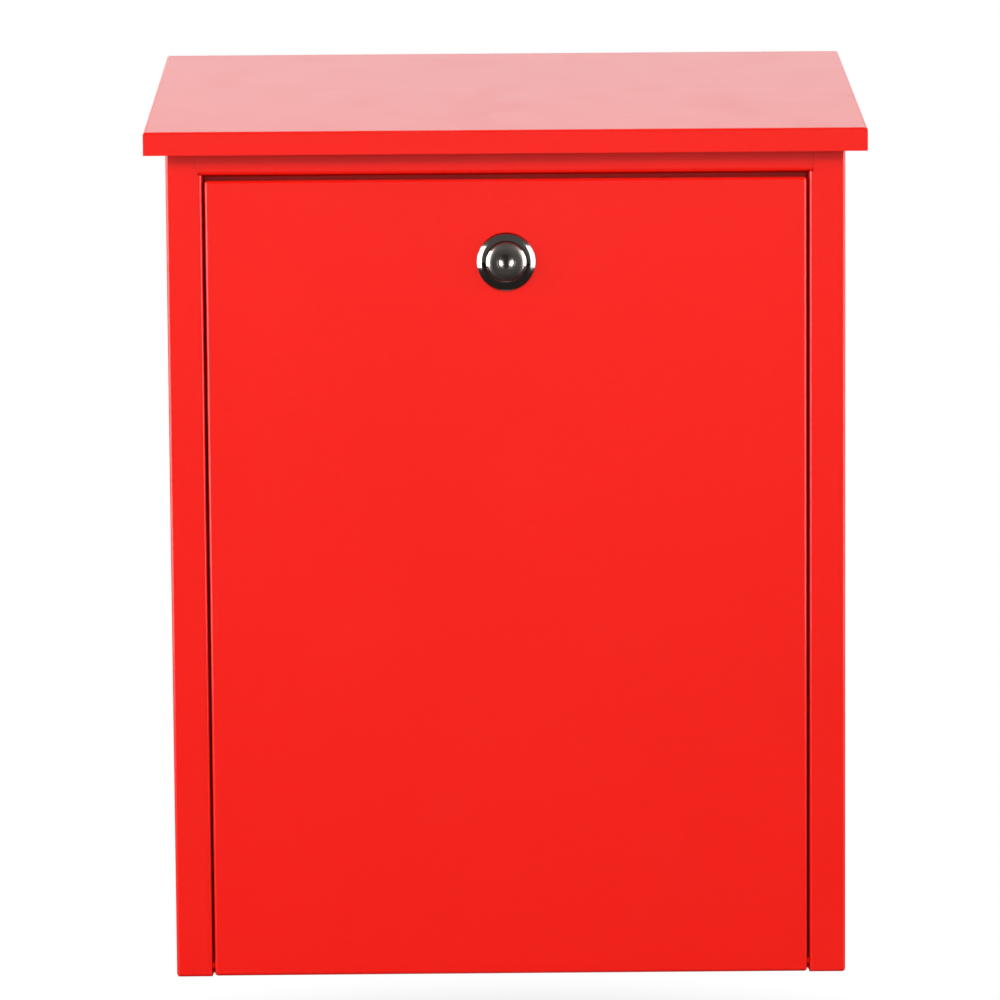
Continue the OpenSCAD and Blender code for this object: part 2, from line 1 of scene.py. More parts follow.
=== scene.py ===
# %% [markdown]
# # A red letter box of folded sheet steel
# The box hangs over a pale floor as in a catalogue picture: a case with two front posts, a sloping lid
# that lifts for posting, a front door that drops down on two pins, and a nickel-plated cam lock.
# The exact solids come from the CAD frame. This script dresses them: paint, plating and rubber, the
# small worked details that the solids leave out, the light, and the camera.
# Everything is in metres. +X is to the viewer's right, +Y goes into the wall and +Z is up.

# %% Load the frame
import bpy
import bmesh
import json
import math
from mathutils import Matrix, Vector
from mathutils.bvhtree import BVHTree


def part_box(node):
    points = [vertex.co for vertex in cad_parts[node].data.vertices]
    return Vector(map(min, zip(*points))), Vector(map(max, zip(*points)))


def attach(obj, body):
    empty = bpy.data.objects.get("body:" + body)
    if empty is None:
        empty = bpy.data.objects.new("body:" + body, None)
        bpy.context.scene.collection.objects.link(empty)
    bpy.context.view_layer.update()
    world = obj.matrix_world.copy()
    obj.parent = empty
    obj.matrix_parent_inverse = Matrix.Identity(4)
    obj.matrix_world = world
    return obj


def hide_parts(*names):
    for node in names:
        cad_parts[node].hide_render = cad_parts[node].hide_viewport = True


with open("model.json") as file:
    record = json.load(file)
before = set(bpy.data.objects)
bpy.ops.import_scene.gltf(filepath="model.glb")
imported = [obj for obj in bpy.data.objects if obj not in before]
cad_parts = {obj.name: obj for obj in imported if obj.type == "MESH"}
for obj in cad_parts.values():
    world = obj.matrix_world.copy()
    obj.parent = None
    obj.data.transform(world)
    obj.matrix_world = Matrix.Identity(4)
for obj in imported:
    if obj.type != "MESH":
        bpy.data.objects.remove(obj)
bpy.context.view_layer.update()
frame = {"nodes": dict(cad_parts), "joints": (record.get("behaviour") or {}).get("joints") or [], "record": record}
nodes = frame["nodes"]
scene = bpy.context.scene
MM = 0.001
print("CAD nodes:", len(nodes))

# %% [markdown]
# ## Where things are
# The driving places are read from the frame, so every later piece stays on the solid that carries it.
# The case's lowest Y is its front, the rosette gives the lock's axis, and the record's joints give the
# hinge lines. Only the camera, the lamps and the floor have places of their own.

# %% Read the driving places from the frame
case_low, case_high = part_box("case_shell")
rosette_low, rosette_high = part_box("lock_rosette")
joint_at = {joint["name"]: Vector(joint["pos_m"]) for joint in frame["joints"]}
front_y = case_low.y
base_z = case_low.z
lock_x = (rosette_low.x + rosette_high.x) / 2
lock_z = (rosette_low.z + rosette_high.z) / 2
print("front", round(front_y, 4), "base", round(base_z, 4), "lock", round(lock_x, 4), round(lock_z, 4))
print("lid hinge", [round(v, 4) for v in joint_at["lid_hinge"]])

# %% [markdown]
# ## Camera
# The photograph was taken almost square on, from a little above the middle, with a long lens: the two
# sides of the case hardly converge, and the roof shows as a narrow band. A camera is placed here by
# its own axes: where it stands, how far it turns, how far it looks down and how far it leans.

# %% Place the camera
camera_at = Vector((-12.24, -1926.43, 174.66)) * MM
camera_yaw = math.radians(-0.28)
camera_pitch = math.radians(5.11)
camera_roll = math.radians(0.42)
camera_lens = 144
sensor_width = 36


def camera_axes(yaw, pitch, roll):
    """Right, up and backward axes of a camera that turns, then looks down, then leans."""
    right = Vector((math.cos(yaw), math.sin(yaw), 0))
    level = Vector((-math.sin(yaw), math.cos(yaw), 0))
    ahead = level * math.cos(pitch) - Vector((0, 0, math.sin(pitch)))
    upward = level * math.sin(pitch) + Vector((0, 0, math.cos(pitch)))
    side = right * math.cos(roll) - upward * math.sin(roll)
    top = right * math.sin(roll) + upward * math.cos(roll)
    return side, top, -ahead


camera_data = bpy.data.cameras.new("camera")
camera_data.lens = camera_lens
camera_data.sensor_width = sensor_width
camera_data.clip_end = 60
camera = bpy.data.objects.new("camera", camera_data)
scene.collection.objects.link(camera)
camera_turn = Matrix(camera_axes(camera_yaw, camera_pitch, camera_roll)).transposed().to_4x4()
camera.matrix_world = Matrix.Translation(camera_at) @ camera_turn
scene.camera = camera
print("camera distance to the front:", round(front_y - camera_at.y, 3), "m")

# %% [markdown]
# ## Lamps
# The picture is a studio shot. Two lamps light the front: a broad one just above the camera, which
# makes the narrow gaps beside the door glow dark red, and a small high one, whose light under the lip
# stops short, so the lip throws a band of shadow on the rail. A soft lamp on each side draws the
# bright lines along the folds and the white crescents in the nickel. One hangs behind the box and
# gives the roof its pale sheen, and a low one behind it lights the back panel.

# %% Hang the lamps
def soft_lamp(name, at, aim, size, power, in_gloss=True):
    """Rectangular soft lamp that faces a point. in_gloss says whether polished surfaces show it."""
    data = bpy.data.lights.new(name, "AREA")
    data.shape = "RECTANGLE"
    data.size, data.size_y = size
    data.energy = power
    lamp = bpy.data.objects.new(name, data)
    lamp.location = at
    lamp.rotation_euler = (Vector(aim) - Vector(at)).to_track_quat("-Z", "Y").to_euler()
    lamp.visible_glossy = in_gloss
    scene.collection.objects.link(lamp)
    return lamp


box_middle = (0, (case_low.y + case_high.y) / 2, (case_low.z + case_high.z) / 2)
soft_lamp("lamp_high", (0, -1.95, 0.95), box_middle, (0.5, 0.5), 15.6, in_gloss=False)
soft_lamp("lamp_level", (0, -2.3, 0.45), box_middle, (2.6, 1.2), 12, in_gloss=False)
soft_lamp("lamp_left", (-1.6, -0.5, 0.38), box_middle, (1.5, 1.4), 30)
soft_lamp("lamp_right", (1.6, -0.5, 0.38), box_middle, (1.5, 1.4), 22)
soft_lamp("lamp_back", (0, 1.9, 1.45), box_middle, (2.6, 1.2), 4)
soft_lamp("lamp_rear", (0, 2.4, 0.35), box_middle, (2.0, 0.8), 22, in_gloss=False)

# %% [markdown]
# ## Shader nodes by name
# Node trees are built in text here, so two small helpers keep the cells short: one adds a node and
# sets its properties or inputs, the other joins two sockets.

# %% Node helpers
def add(tree, kind, **values):
    """Adds a node. A keyword names a property of the node, or an input with _ for each space."""
    node = tree.nodes.new(kind)
    for key, value in values.items():
        if hasattr(node, key):
            setattr(node, key, value)
        else:
            node.inputs[key.replace("_", " ")].default_value = value
    return node


def link(tree, source, target):
    """Joins an output to an input."""
    tree.links.new(source, target)


def math_node(tree, operation, first, second=0.5):
    """Math node fed by two sockets or numbers. Returns its output."""
    node = add(tree, "ShaderNodeMath", operation=operation)
    for slot, value in zip(node.inputs, (first, second)):
        if isinstance(value, (int, float)):
            slot.default_value = value
        else:
            link(tree, value, slot)
    return node.outputs[0]


def times(tree, first, second):
    """Product of two sockets or numbers."""
    return math_node(tree, "MULTIPLY", first, second)


def plus(tree, first, second):
    """Sum of two sockets or numbers."""
    return math_node(tree, "ADD", first, second)


def minus(tree, first, second):
    """Difference of two sockets or numbers."""
    return math_node(tree, "SUBTRACT", first, second)


def axes_of(tree, vector):
    """Outputs X, Y and Z of a vector socket."""
    node = add(tree, "ShaderNodeSeparateXYZ")
    link(tree, vector, node.inputs[0])
    return node.outputs


def remap(tree, value, from_low, from_high, to_low, to_high, kind="SMOOTHSTEP"):
    """Map Range node. Returns its output."""
    node = add(tree, "ShaderNodeMapRange", interpolation_type=kind)
    ends = {"From Min": from_low, "From Max": from_high, "To Min": to_low, "To Max": to_high}
    for name, number in ends.items():
        node.inputs[name].default_value = number
    link(tree, value, node.inputs["Value"])
    return node.outputs["Result"]


def clear_tree(owner):
    """Turns nodes on for a material or world and empties its tree."""
    owner.use_nodes = True
    owner.node_tree.nodes.clear()
    return owner.node_tree


# %% [markdown]
# ## Room and floor
# The background is plain white to the camera. To a gloss the room is white behind the box and nearly
# dark in front of it, as in a studio where only the wall behind is lit: that is why the roof looks
# pale and the door stays a full red. The far floor is dark to a gloss too, so the nickel stays dark
# below its two crescents. The floor is a pale grey sheet that turns white away from the box, so
# only the soft shadow is left. The box hangs on a wall, and its door drops a little past level, so the
# floor lies far enough below the box for the open door to clear it.

# %% Build the room
def studio_room():
    """World that is white to the camera, and to gloss only behind the box."""
    world = bpy.data.worlds.new("studio_room")
    tree = clear_tree(world)
    direction = add(tree, "ShaderNodeTexCoord")
    parts = axes_of(tree, direction.outputs["Generated"])
    behind = remap(tree, parts["Y"], -0.25, 0.25, 0.0, 0.95)
    rays = add(tree, "ShaderNodeLightPath")
    gloss_behind = times(tree, rays.outputs["Is Glossy Ray"], behind)
    clear = math_node(tree, "MAXIMUM", rays.outputs["Is Camera Ray"], rays.outputs["Is Transmission Ray"])
    white_share = math_node(tree, "MAXIMUM", clear, gloss_behind)
    dim = add(tree, "ShaderNodeBackground", Color=(1, 1, 1, 1), Strength=0.08)
    white = add(tree, "ShaderNodeBackground", Color=(1, 1, 1, 1), Strength=1.0)
    mix = add(tree, "ShaderNodeMixShader")
    link(tree, white_share, mix.inputs[0])
    link(tree, dim.outputs[0], mix.inputs[1])
    link(tree, white.outputs[0], mix.inputs[2])
    link(tree, mix.outputs[0], add(tree, "ShaderNodeOutputWorld").inputs["Surface"])
    return world


scene.world = studio_room()
scene.view_settings.view_transform = "Standard"
floor_drop = 80 * MM
floor_z = base_z - floor_drop


def pale_floor():
    """Grey floor that keeps the shadow near the box and is plain white to the camera further out."""
    material = bpy.data.materials.new("pale_floor")
    tree = clear_tree(material)
    where = add(tree, "ShaderNodeTexCoord")
    centre = add(tree, "ShaderNodeMapping")
    centre.inputs["Location"].default_value = (0, -box_middle[1], -floor_z)
    link(tree, where.outputs["Object"], centre.inputs["Vector"])
    away = add(tree, "ShaderNodeVectorMath", operation="LENGTH")
    link(tree, centre.outputs[0], away.inputs[0])
    fade = remap(tree, away.outputs["Value"], 0.10, 0.32, 0.45, 1.0)
    rays = add(tree, "ShaderNodeLightPath")
    share = times(tree, rays.outputs["Is Camera Ray"], fade)
    far = remap(tree, away.outputs["Value"], 0.05, 0.15, 0.0, 1.0)
    dark_share = times(tree, rays.outputs["Is Glossy Ray"], far)
    matt = add(tree, "ShaderNodeBsdfDiffuse", Color=(0.4, 0.4, 0.4, 1))
    dark = add(tree, "ShaderNodeBsdfDiffuse", Color=(0.02, 0.02, 0.02, 1))
    white = add(tree, "ShaderNodeEmission", Color=(1, 1, 1, 1), Strength=1.0)
    seen = add(tree, "ShaderNodeMixShader")
    link(tree, share, seen.inputs[0])
    link(tree, matt.outputs[0], seen.inputs[1])
    link(tree, white.outputs[0], seen.inputs[2])
    mix = add(tree, "ShaderNodeMixShader")
    link(tree, dark_share, mix.inputs[0])
    link(tree, seen.outputs[0], mix.inputs[1])
    link(tree, dark.outputs[0], mix.inputs[2])
    link(tree, mix.outputs[0], add(tree, "ShaderNodeOutputMaterial").inputs["Surface"])
    return material


floor_reach = 12
floor_mesh = bpy.data.meshes.new("floor")
floor_corners = [(x * floor_reach, y * floor_reach, floor_z) for x, y in ((-1, -1), (1, -1), (1, 1), (-1, 1))]
floor_mesh.from_pydata(floor_corners, [], [(0, 1, 2, 3)])
floor = bpy.data.objects.new("floor", floor_mesh)
scene.collection.objects.link(floor)
floor_mesh.materials.append(pale_floor())
print("floor at z", round(floor_z, 4))

# %% [markdown]
# ## Shared surface effects
# Powder coat, plating and zinc share a few effects: the fine orange-peel grain of baked powder, a slow
# drift of colour over a sheet, the marks that hands leave, lines left by turning or brushing, and the
# thinner finish along cut edges. Each is one node group with named inputs and outputs, and all of
# them read the object's own coordinates in metres, so a mark has its real size.

# %% Make the effect groups
def effect_group(name, inputs, outputs):
    """Empty shader group with float, vector or colour sockets. Returns tree, input and output node."""
    kinds = {"float": "NodeSocketFloat", "vector": "NodeSocketVector", "colour": "NodeSocketColor"}
    group = bpy.data.node_groups.new(name, "ShaderNodeTree")
    for socket, (kind, value) in inputs.items():
        made = group.interface.new_socket(socket, in_out="INPUT", socket_type=kinds[kind])
        if value is not None:
            made.default_value = value
    for socket, kind in outputs.items():
        group.interface.new_socket(socket, in_out="OUTPUT", socket_type=kinds[kind])
    return group, group.nodes.new("NodeGroupInput"), group.nodes.new("NodeGroupOutput")


def noise(tree, vector, scale, detail=2.0, roughness=0.5):
    """Noise in metres. Returns its value output."""
    node = add(tree, "ShaderNodeTexNoise", Scale=scale, Detail=detail, Roughness=roughness)
    link(tree, vector, node.inputs["Vector"])
    return node.outputs["Fac"]


def stretched(tree, vector, factors, turn=0.0):
    """Coordinates turned about Y and then scaled by three factors."""
    node = add(tree, "ShaderNodeMapping")
    node.inputs["Rotation"].default_value = (0, turn, 0)
    node.inputs["Scale"].default_value = factors
    link(tree, vector, node.inputs["Vector"])
    return node.outputs[0]


def powder_grain():
    """Fine orange peel of baked powder: a soft swell with a finer grain on it."""
    group, source, result = effect_group(
        "powder_grain", {"Vector": ("vector", None), "Fine Share": ("float", 0.35)}, {"Height": "float"})
    swell = noise(group, source.outputs["Vector"], 260, 1.0)
    fine = noise(group, source.outputs["Vector"], 1300, 2.0)
    fine_part = times(group, fine, source.outputs["Fine Share"])
    link(group, plus(group, swell, fine_part), result.inputs["Height"])
    return group


def colour_drift():
    """Slow change of brightness over a sheet, with a little fine mottle."""
    group, source, result = effect_group(
        "colour_drift",
        {"Vector": ("vector", None), "Color": ("colour", (1, 1, 1, 1)), "Amount": ("float", 0.05)},
        {"Color": "colour"})
    slow = noise(group, source.outputs["Vector"], 7, 2.0)
    mottle = noise(group, source.outputs["Vector"], 180, 3.0, 0.6)
    both = plus(group, slow, times(group, mottle, 0.4))
    centred = minus(group, both, 0.7)
    swing = times(group, centred, source.outputs["Amount"])
    bright = add(group, "ShaderNodeHueSaturation")
    link(group, plus(group, swing, 1.0), bright.inputs["Value"])
    link(group, source.outputs["Color"], bright.inputs["Color"])
    link(group, bright.outputs[0], result.inputs["Color"])
    return group


def hand_marks():
    """Soft smudges from hands, and a few fine scratches that cross each other."""
    group, source, result = effect_group(
        "hand_marks", {"Vector": ("vector", None), "Scratch Share": ("float", 0.5)},
        {"Smudge": "float", "Scratch": "float"})
    vector = source.outputs["Vector"]
    smudge = remap(group, noise(group, vector, 22, 3.0, 0.6), 0.52, 0.72, 0.0, 1.0)
    link(group, smudge, result.inputs["Smudge"])
    lines = []
    for turn, along, across in ((0.5, 9, 2600), (-0.9, 12, 2200)):
        streak = noise(group, stretched(group, vector, (along, 60, across), turn), 1.0, 1.0)
        lines.append(remap(group, streak, 0.70, 0.74, 0.0, 1.0))
    crossed = math_node(group, "MAXIMUM", *lines)
    link(group, times(group, crossed, source.outputs["Scratch Share"]), result.inputs["Scratch"])
    return group


def worn_edge():
    """Broken line along the cut edges, where powder or plating is thinnest."""
    group, source, result = effect_group(
        "worn_edge", {"Vector": ("vector", None), "Breakup": ("float", 0.5)}, {"Edge": "float"})
    edge = add(group, "ShaderNodeAttribute", attribute_name="cut_edge")
    patch = noise(group, source.outputs["Vector"], 140, 3.0, 0.6)
    kept = remap(group, patch, 0.40, 0.62, 0.0, 1.0)
    softened = times(group, kept, source.outputs["Breakup"])
    whole = minus(group, 1.0, source.outputs["Breakup"])
    share = plus(group, softened, whole)
    link(group, times(group, edge.outputs["Fac"], share), result.inputs["Edge"])
    return group


def settled_dust():
    """Dust that lies on faces that look up, thicker in patches."""
    group, source, result = effect_group(
        "settled_dust", {"Vector": ("vector", None), "Amount": ("float", 0.2)}, {"Dust": "float"})
    facing = add(group, "ShaderNodeNewGeometry")
    parts = axes_of(group, facing.outputs["Normal"])
    upward = remap(group, parts["Z"], 0.35, 1.0, 0.0, 1.0)
    patch = remap(group, noise(group, source.outputs["Vector"], 45, 4.0, 0.65), 0.35, 0.75, 0.3, 1.0)
    share = times(group, upward, patch)
    link(group, times(group, share, source.outputs["Amount"]), result.inputs["Dust"])
    return group


def turned_marks():
    """Fine rings round the lock's axis, as a polishing wheel leaves them, and a mask of the inner face."""
    group, source, result = effect_group(
        "turned_marks",
        {"Vector": ("vector", None), "Rings": ("float", 5200.0), "Face Radius": ("float", 0.0082)},
        {"Height": "float", "Face": "float"})
    centre = add(group, "ShaderNodeMapping")
    centre.inputs["Location"].default_value = (-lock_x, 0, -lock_z)
    link(group, source.outputs["Vector"], centre.inputs["Vector"])
    parts = axes_of(group, centre.outputs[0])
    lengths = [math_node(group, "ABSOLUTE", parts[axis], 0) for axis in "XZ"]
    squares = [math_node(group, "POWER", length, 2.0) for length in lengths]
    radius = math_node(group, "SQRT", math_node(group, "ADD", *squares), 0)
    rings = add(group, "ShaderNodeTexNoise", noise_dimensions="1D", Scale=1.0, Detail=2.0)
    link(group, times(group, radius, source.outputs["Rings"]), rings.inputs["W"])
    link(group, rings.outputs["Fac"], result.inputs["Height"])
    inward = minus(group, source.outputs["Face Radius"], radius)
    link(group, remap(group, inward, -0.0002, 0.0002, 0.0, 1.0), result.inputs["Face"])
    return group


def brushed_lines():
    """Straight lines from a brush or a rolled sheet, running along X."""
    group, source, result = effect_group("brushed_lines", {"Vector": ("vector", None)}, {"Height": "float"})
    lines = noise(group, stretched(group, source.outputs["Vector"], (180, 4200, 4200)), 1.0, 3.0, 0.65)
    link(group, lines, result.inputs["Height"])
    return group


def zinc_bloom():
    """Cloudy crystals of zinc plating: two sizes of cells, blurred into each other."""
    group, source, result = effect_group(
        "zinc_bloom", {"Vector": ("vector", None), "Cells": ("float", 420.0)}, {"Bloom": "float"})
    cells = add(group, "ShaderNodeTexVoronoi", feature="SMOOTH_F1")
    link(group, source.outputs["Vector"], cells.inputs["Vector"])
    link(group, source.outputs["Cells"], cells.inputs["Scale"])
    cloud = noise(group, source.outputs["Vector"], 90, 3.0, 0.6)
    tint = add(group, "ShaderNodeRGBToBW")
    link(group, cells.outputs["Color"], tint.inputs[0])
    half = times(group, tint.outputs[0], 0.5)
    link(group, plus(group, half, times(group, cloud, 0.5)), result.inputs["Bloom"])
    return group


effects = {make.__name__: make() for make in (
    powder_grain, colour_drift, hand_marks, worn_edge, settled_dust, turned_marks, brushed_lines, zinc_bloom)}


def effect(tree, name, **values):
    """Uses an effect group in a material. A socket is linked and a number or colour is set."""
    node = add(tree, "ShaderNodeGroup", node_tree=effects[name])
    for key, value in values.items():
        target = node.inputs[key.replace("_", " ")]
        if isinstance(value, bpy.types.NodeSocket):
            link(tree, value, target)
        else:
            target.default_value = value
    return node.outputs


print("effect groups:", sorted(effects))

# %% [markdown]
# ## Four finishes
# Red powder coat covers every sheet and the door pins: semi-gloss, so a soft broad highlight under a
# thin sharper one. The lock's outer parts are bright nickel with fine turning rings. The parts that
# only the key holder sees are zinc-plated steel. The pads are black rubber. Powder and plating are a
# little thinner on cut edges, so each edge has its own narrow line.

# %% Mix the finishes
def mixed(tree, share, first, second):
    """Mixes two colours, sockets or values, by a share. Returns the colour output."""
    node = add(tree, "ShaderNodeMix", data_type="RGBA")
    for slot, value in ((node.inputs[0], share), (node.inputs[6], first), (node.inputs[7], second)):
        if isinstance(value, bpy.types.NodeSocket):
            link(tree, value, slot)
        else:
            slot.default_value = value
    return node.outputs[2]


def bumped(tree, height, distance, strength=1.0):
    """Bump node for a height in the given distance, in metres. Returns the normal."""
    node = add(tree, "ShaderNodeBump", Strength=strength, Distance=distance)
    link(tree, height, node.inputs["Height"])
    return node.outputs[0]


def start_finish(name, **values):
    """New material with its shader and coordinates. Returns material, tree, shader and vector."""
    material = bpy.data.materials.new(name)
    tree = clear_tree(material)
    shader = add(tree, "ShaderNodeBsdfPrincipled", **values)
    link(tree, shader.outputs[0], add(tree, "ShaderNodeOutputMaterial").inputs["Surface"])
    where = add(tree, "ShaderNodeTexCoord")
    return material, tree, shader, where.outputs["Object"]


def red_powder_coat():
    """Semi-gloss red powder coat on sheet steel."""
    material, tree, shader, where = start_finish("red_powder_coat", Coat_Weight=0.5, Coat_Roughness=0.11)
    paint = effect(tree, "colour_drift", Vector=where, Color=(0.90, 0.0055, 0.0003, 1), Amount=0.07)["Color"]
    edge = effect(tree, "worn_edge", Vector=where, Breakup=0.6)["Edge"]
    thin = mixed(tree, times(tree, edge, 0.35), paint, (0.93, 0.055, 0.03, 1))
    dust = effect(tree, "settled_dust", Vector=where, Amount=0.05)["Dust"]
    link(tree, mixed(tree, dust, thin, (0.62, 0.55, 0.50, 1)), shader.inputs["Base Color"])
    marks = effect(tree, "hand_marks", Vector=where, Scratch_Share=0.25)
    smear = times(tree, marks["Smudge"], 0.02)
    scuffed = plus(tree, smear, times(tree, marks["Scratch"], 0.12))
    dusty = plus(tree, scuffed, times(tree, dust, 1.2))
    link(tree, plus(tree, dusty, 0.30), shader.inputs["Roughness"])
    grain = effect(tree, "powder_grain", Vector=where, Fine_Share=0.35)["Height"]
    normal = bumped(tree, grain, 0.000012)
    link(tree, normal, shader.inputs["Normal"])
    link(tree, normal, shader.inputs["Coat Normal"])
    return material


def bright_nickel():
    """Polished nickel plating with turning rings and warm tarnish. The plug's face is more satin."""
    material, tree, shader, where = start_finish("bright_nickel", Metallic=1.0)
    metal = effect(tree, "colour_drift", Vector=where, Color=(0.70, 0.645, 0.60, 1), Amount=0.18)["Color"]
    tarnish = remap(tree, noise(tree, where, 380, 3.0, 0.6), 0.5, 0.75, 0.0, 0.35)
    edge = effect(tree, "worn_edge", Vector=where, Breakup=0.4)["Edge"]
    aged = mixed(tree, tarnish, metal, (0.50, 0.42, 0.35, 1))
    edged = mixed(tree, times(tree, edge, 0.4), aged, (0.82, 0.76, 0.70, 1))
    link(tree, edged, shader.inputs["Base Color"])
    marks = effect(tree, "hand_marks", Vector=where, Scratch_Share=0.6)
    worn = plus(tree, times(tree, marks["Smudge"], 0.08),
                     times(tree, marks["Scratch"], 0.15))
    turned = effect(tree, "turned_marks", Vector=where, Rings=5200.0, Face_Radius=8.2 * MM)
    matt_face = times(tree, turned["Face"], 0.20)
    link(tree, plus(tree, plus(tree, worn, matt_face), 0.10), shader.inputs["Roughness"])
    brushed = effect(tree, "brushed_lines", Vector=where)["Height"]
    both = plus(tree, turned["Height"], times(tree, brushed, 0.5))
    link(tree, bumped(tree, both, 0.0000012), shader.inputs["Normal"])
    return material


def zinc_plate():
    """Zinc-plated steel with cloudy crystals and duller smears."""
    material, tree, shader, where = start_finish("zinc_plate", Metallic=1.0)
    bloom = effect(tree, "zinc_bloom", Vector=where, Cells=420.0)["Bloom"]
    edge = effect(tree, "worn_edge", Vector=where, Breakup=0.5)["Edge"]
    clouded = mixed(tree, bloom, (0.46, 0.48, 0.52, 1), (0.72, 0.73, 0.74, 1))
    edged = mixed(tree, times(tree, edge, 0.5), clouded, (0.85, 0.85, 0.84, 1))
    link(tree, edged, shader.inputs["Base Color"])
    marks = effect(tree, "hand_marks", Vector=where, Scratch_Share=0.7)
    scratched = times(tree, marks["Scratch"], 0.2)
    rough = plus(tree, remap(tree, bloom, 0.2, 0.8, 0.26, 0.42), scratched)
    link(tree, rough, shader.inputs["Roughness"])
    brushed = effect(tree, "brushed_lines", Vector=where)["Height"]
    height = plus(tree, brushed, times(tree, bloom, 0.6))
    link(tree, bumped(tree, height, 0.000004), shader.inputs["Normal"])
    return material


def black_rubber():
    """Moulded black rubber with a fine grain and a bloom of grey."""
    material, tree, shader, where = start_finish("black_rubber", Specular_IOR_Level=0.35)
    rubber = effect(tree, "colour_drift", Vector=where, Color=(0.022, 0.022, 0.024, 1), Amount=0.5)["Color"]
    dust = effect(tree, "settled_dust", Vector=where, Amount=0.25)["Dust"]
    link(tree, mixed(tree, dust, rubber, (0.20, 0.19, 0.18, 1)), shader.inputs["Base Color"])
    grain = effect(tree, "powder_grain", Vector=where, Fine_Share=1.0)["Height"]
    link(tree, remap(tree, grain, 0.4, 1.0, 0.52, 0.72), shader.inputs["Roughness"])
    link(tree, bumped(tree, grain, 0.00002), shader.inputs["Normal"])
    return material


finish = {
    "red_paint": red_powder_coat(),
    "polished_nickel": bright_nickel(),
    "zinc_steel": zinc_plate(),
    "rubber_pads": black_rubber(),
}
node_slot = {part["node"]: part["material_slot"] for part in frame["record"]["subparts"]}
bodies = frame["record"]["behaviour"]["bodies"]
node_body = {node: body for body, members in bodies.items() for node in members}
for node_name, slot_name in node_slot.items():
    nodes[node_name].data.materials.clear()
    nodes[node_name].data.materials.append(finish[slot_name])
print("finishes:", sorted(finish))

# %% [markdown]
# ## Rounded edges
# The solids have perfectly sharp cut edges, and no real edge is. A shear leaves a small radius, and
# powder flows round it, so each cut edge carries a thin line of light. Each solid is copied with its
# loose triangles merged, its cut edges are rounded by a tenth or two of a millimetre, and the new
# faces are marked so that the finish can be thinner there. The folds are already round and are left
# alone. At a crowded corner a rounding can throw a point out, so each such point is put back on the
# solid's surface. The rosette's rim is rolled over further, as on a pressed cap.

# %% Round the cut edges
cut_angle = math.radians(35)
rim_angle = math.radians(15)
rim_roll = 0.42 * MM
rim_band = 0.05 * MM
rim_off_door = 0.2 * MM
merge_reach = 2e-7
flat_angle = math.radians(0.05)
soft_angle = math.radians(50)
allowed_out = 1 / 50
rounding = {"red_paint": 0.00016, "polished_nickel": 0.00010, "zinc_steel": 0.00012, "rubber_pads": 0.00025}


def keep_piece(name, mesh, body, slot_name):
    """Object for a finished mesh: linked, painted and riding on its body."""
    piece = bpy.data.objects.new(name, mesh)
    scene.collection.objects.link(piece)
    mesh.materials.clear()
    mesh.materials.append(finish[slot_name])
    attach(piece, body)
    return piece


def round_rosette_rim(shape):
    """Rolls the rosette's outer rim over to the door, wider than its other edges."""
    rim_reach = (rosette_high.x - rosette_low.x) / 2 - rim_band
    rim_front = front_y - rim_off_door

    def on_rim(vertex):
        out = math.hypot(vertex.co.x - lock_x, vertex.co.z - lock_z)
        return out > rim_reach and vertex.co.y < rim_front

    rim = [e for e in shape.edges if all(on_rim(v) for v in e.verts) and e.calc_face_angle(0) > rim_angle]
    bmesh.ops.bevel(
        shape, geom=rim, offset=rim_roll, offset_type="OFFSET", segments=5, profile=0.5, affect="EDGES",
        clamp_overlap=False)


def rounded_copy(node_name):
    """Copy of a CAD node with merged triangles and rounded cut edges."""
    shape = bmesh.new()
    shape.from_mesh(nodes[node_name].data)
    bmesh.ops.remove_doubles(shape, verts=shape.verts, dist=merge_reach)
    bmesh.ops.dissolve_limit(shape, angle_limit=flat_angle, verts=shape.verts, edges=shape.edges)
    if node_name == "lock_rosette":
        round_rosette_rim(shape)
    solid_surface = BVHTree.FromBMesh(shape)
    box_low, box_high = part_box(node_name)
    offset = rounding[node_slot[node_name]]
    mark = shape.faces.layers.float.new("cut_edge")
    cut = [e for e in shape.edges if len(e.link_faces) == 2 and e.calc_face_angle(0) > cut_angle]
    rounded = bmesh.ops.bevel(
        shape, geom=cut, offset=offset, offset_type="OFFSET", segments=2, profile=0.5, affect="EDGES",
        clamp_overlap=False)
    for vertex in shape.verts:
        nearest, outward, _, distance = solid_surface.find_nearest(vertex.co)
        if distance > offset or (vertex.co - nearest).dot(outward) > offset * allowed_out:
            vertex.co = nearest
        vertex.co = [min(max(value, low), high) for value, low, high in zip(vertex.co, box_low, box_high)]
    for face in rounded["faces"]:
        face[mark] = 1.0
    for face in shape.faces:
        face.smooth = True
    for edge in shape.edges:
        edge.smooth = edge.calc_face_angle(0) < soft_angle
    mesh = bpy.data.meshes.new(node_name + "_rounded")
    shape.to_mesh(mesh)
    shape.free()
    return mesh, len(cut)


def weight_normals(piece):
    """Bakes area-weighted normals, so large flats stay flat beside their rounded edges."""
    modifier = piece.modifiers.new("weighted", "WEIGHTED_NORMAL")
    modifier.keep_sharp = True
    bpy.context.view_layer.update()
    graph = bpy.context.evaluated_depsgraph_get()
    mesh = bpy.data.meshes.new_from_object(piece.evaluated_get(graph))
    piece.modifiers.clear()
    piece.data = mesh


grown_nodes = ("hinge_leaf_case", "hinge_leaf_lid")
for node_name in sorted(node_slot):
    if node_name in grown_nodes:
        continue
    mesh, cut_count = rounded_copy(node_name)
    piece = keep_piece(node_name + "_finished", mesh, node_body[node_name], node_slot[node_name])
    weight_normals(piece)
    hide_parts(node_name)
    print(f"{node_name}: {cut_count} cut edges rounded, {len(piece.data.polygons)} faces")

